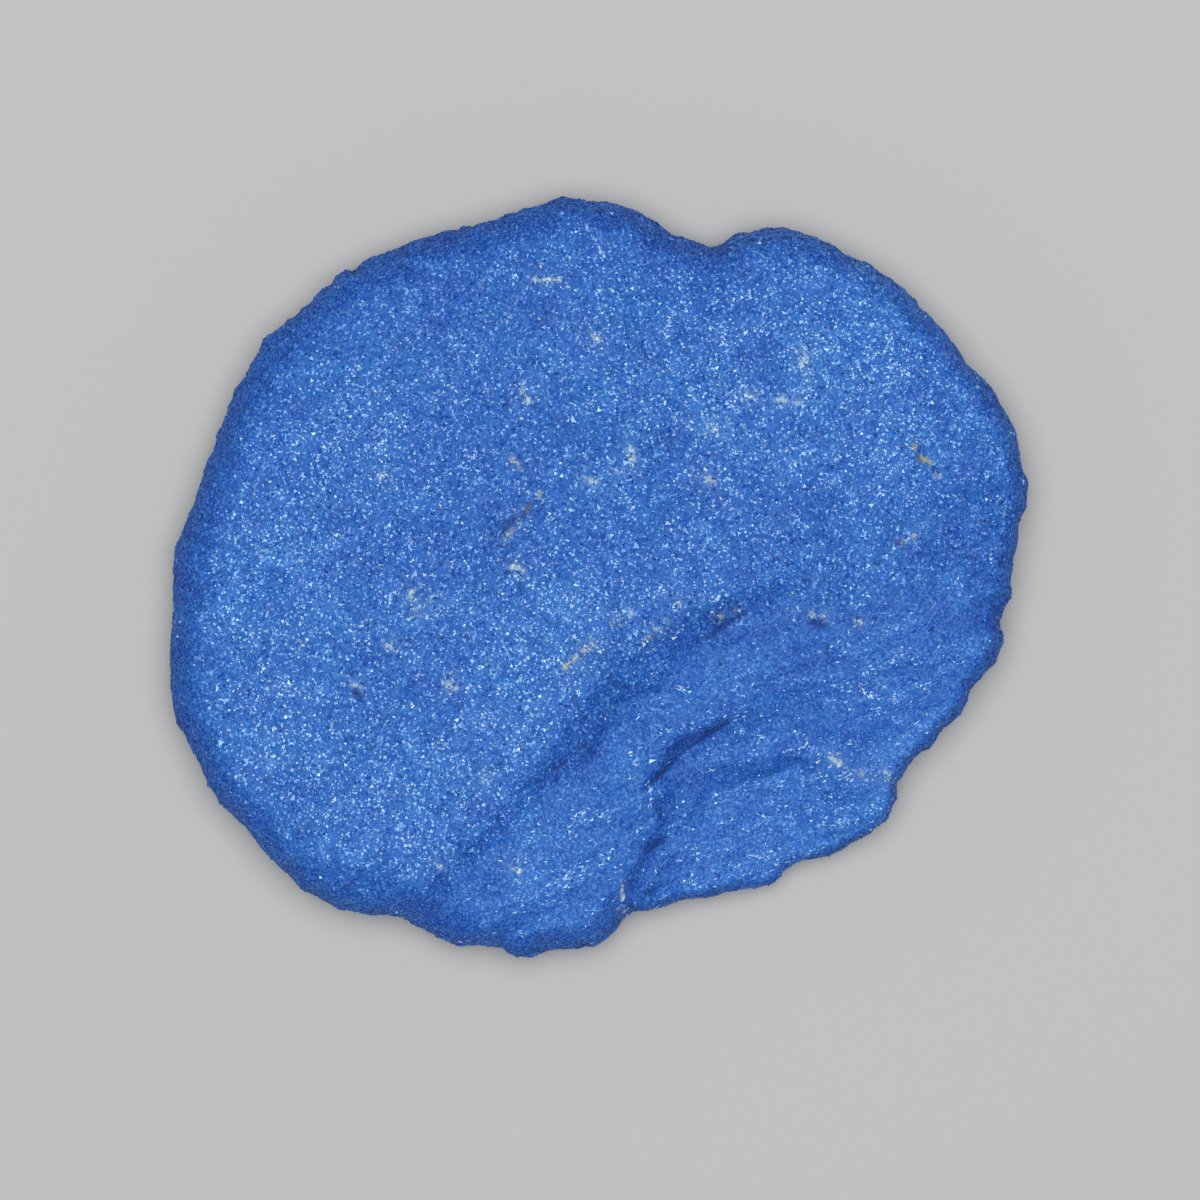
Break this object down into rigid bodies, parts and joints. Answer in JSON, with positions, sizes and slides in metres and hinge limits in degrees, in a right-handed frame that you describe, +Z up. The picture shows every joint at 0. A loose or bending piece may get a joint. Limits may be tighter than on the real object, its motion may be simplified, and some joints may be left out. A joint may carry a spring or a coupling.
{
  "type": "azurite disc concretion specimen",
  "caption": "Flat rounded azurite concretion with a notched, lobed edge and a stepped face covered in sugar-fine blue crystals, lying on its back for display.",
  "frame": {"origin": "under the middle of the disc's outline, on the surface that it lies on", "axes": "+Z up out of the crystal face, +X along the disc's widest way, +Y towards the notched edge"},
  "size_m": [0.072, 0.064, 0.0093],
  "materials": {
    "azurite": "azure blue crust of fine intergrown crystals, rough as a whole, each crystal face glassy, with a few specks of cream clay"
  },
  "bodies": {
    "root": {"azurite_disc": "azurite"}
  },
  "joints": []
}
